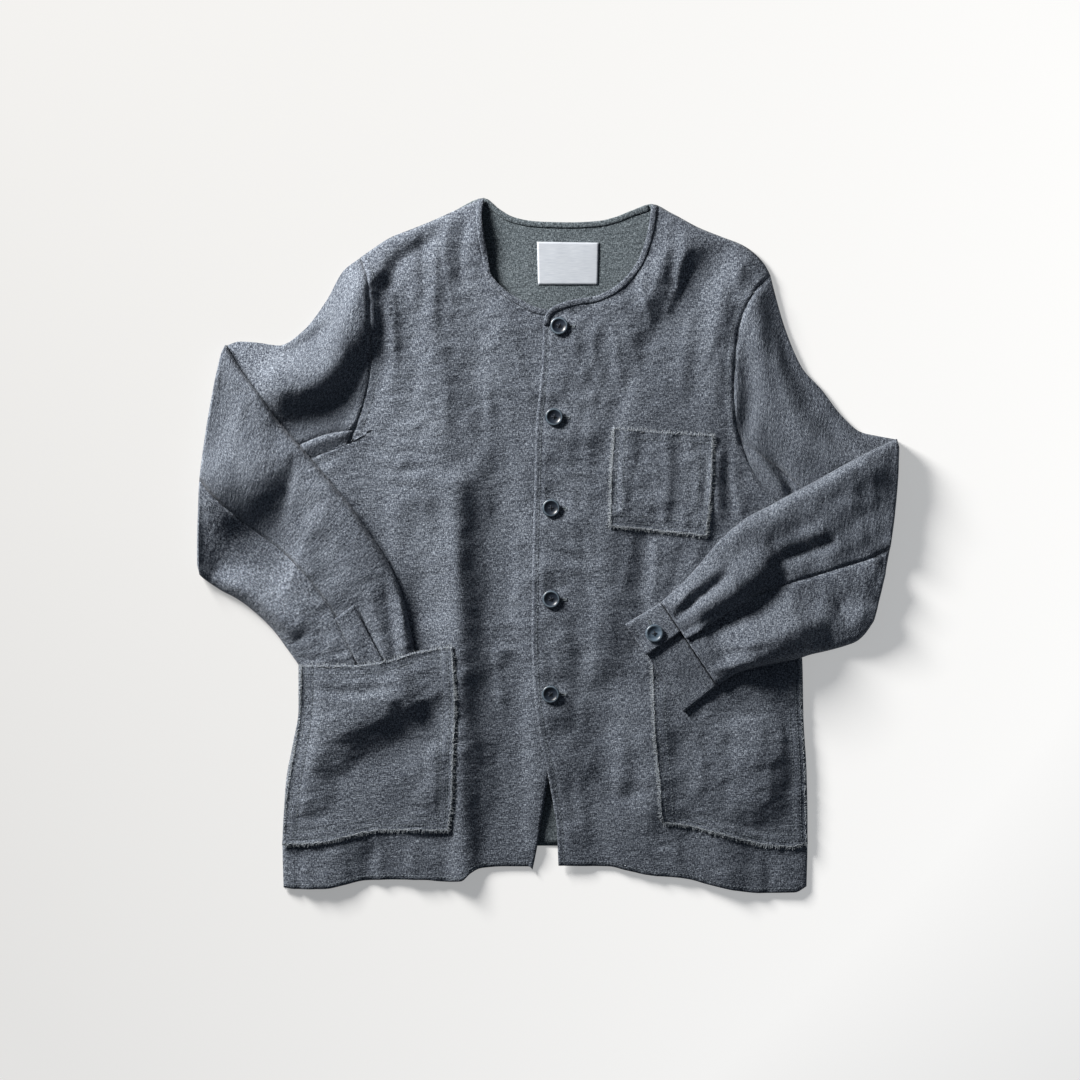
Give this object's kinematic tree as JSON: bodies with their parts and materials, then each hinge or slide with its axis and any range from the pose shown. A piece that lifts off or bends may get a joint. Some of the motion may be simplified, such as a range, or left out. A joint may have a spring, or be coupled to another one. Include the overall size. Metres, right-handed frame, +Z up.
{
  "type": "collarless jacket",
  "caption": "Collarless linen jacket laid flat, buttoned down the front, with three patch pockets and both sleeves folded back at the elbow.",
  "frame": {"origin": "on the surface the jacket lies on, under the middle of its outline", "axes": "+X towards the wearer's left, +Y towards the neck, +Z up from the surface, out of the jacket's front"},
  "size_m": [0.7095, 0.6964, 0.0236],
  "materials": {
    "linen": "blue grey melange linen, plain weave with slubs",
    "linen_inside": "wrong side of the same linen",
    "label": "smooth pale woven tape",
    "horn": "polished dark horn"
  },
  "bodies": {
    "root": {"back": "linen_inside", "front_right": "linen", "front_left": "linen", "sleeve_right_top": "linen", "sleeve_right_under": "linen", "sleeve_left_top": "linen", "sleeve_left_under": "linen", "sleeve_placket_right": "linen", "cuff_right": "linen", "cuff_left": "linen", "chest_pocket": "linen", "hip_pocket_right": "linen", "hip_pocket_left": "linen", "neck_binding_back": "linen_inside", "neck_binding_right": "linen", "neck_binding_left": "linen", "neck_label": "label", "front_button_1": "horn", "front_button_2": "horn", "front_button_3": "horn", "front_button_4": "horn", "front_button_5": "horn", "cuff_button_left": "horn", "cuff_button_right": "horn"}
  },
  "joints": []
}
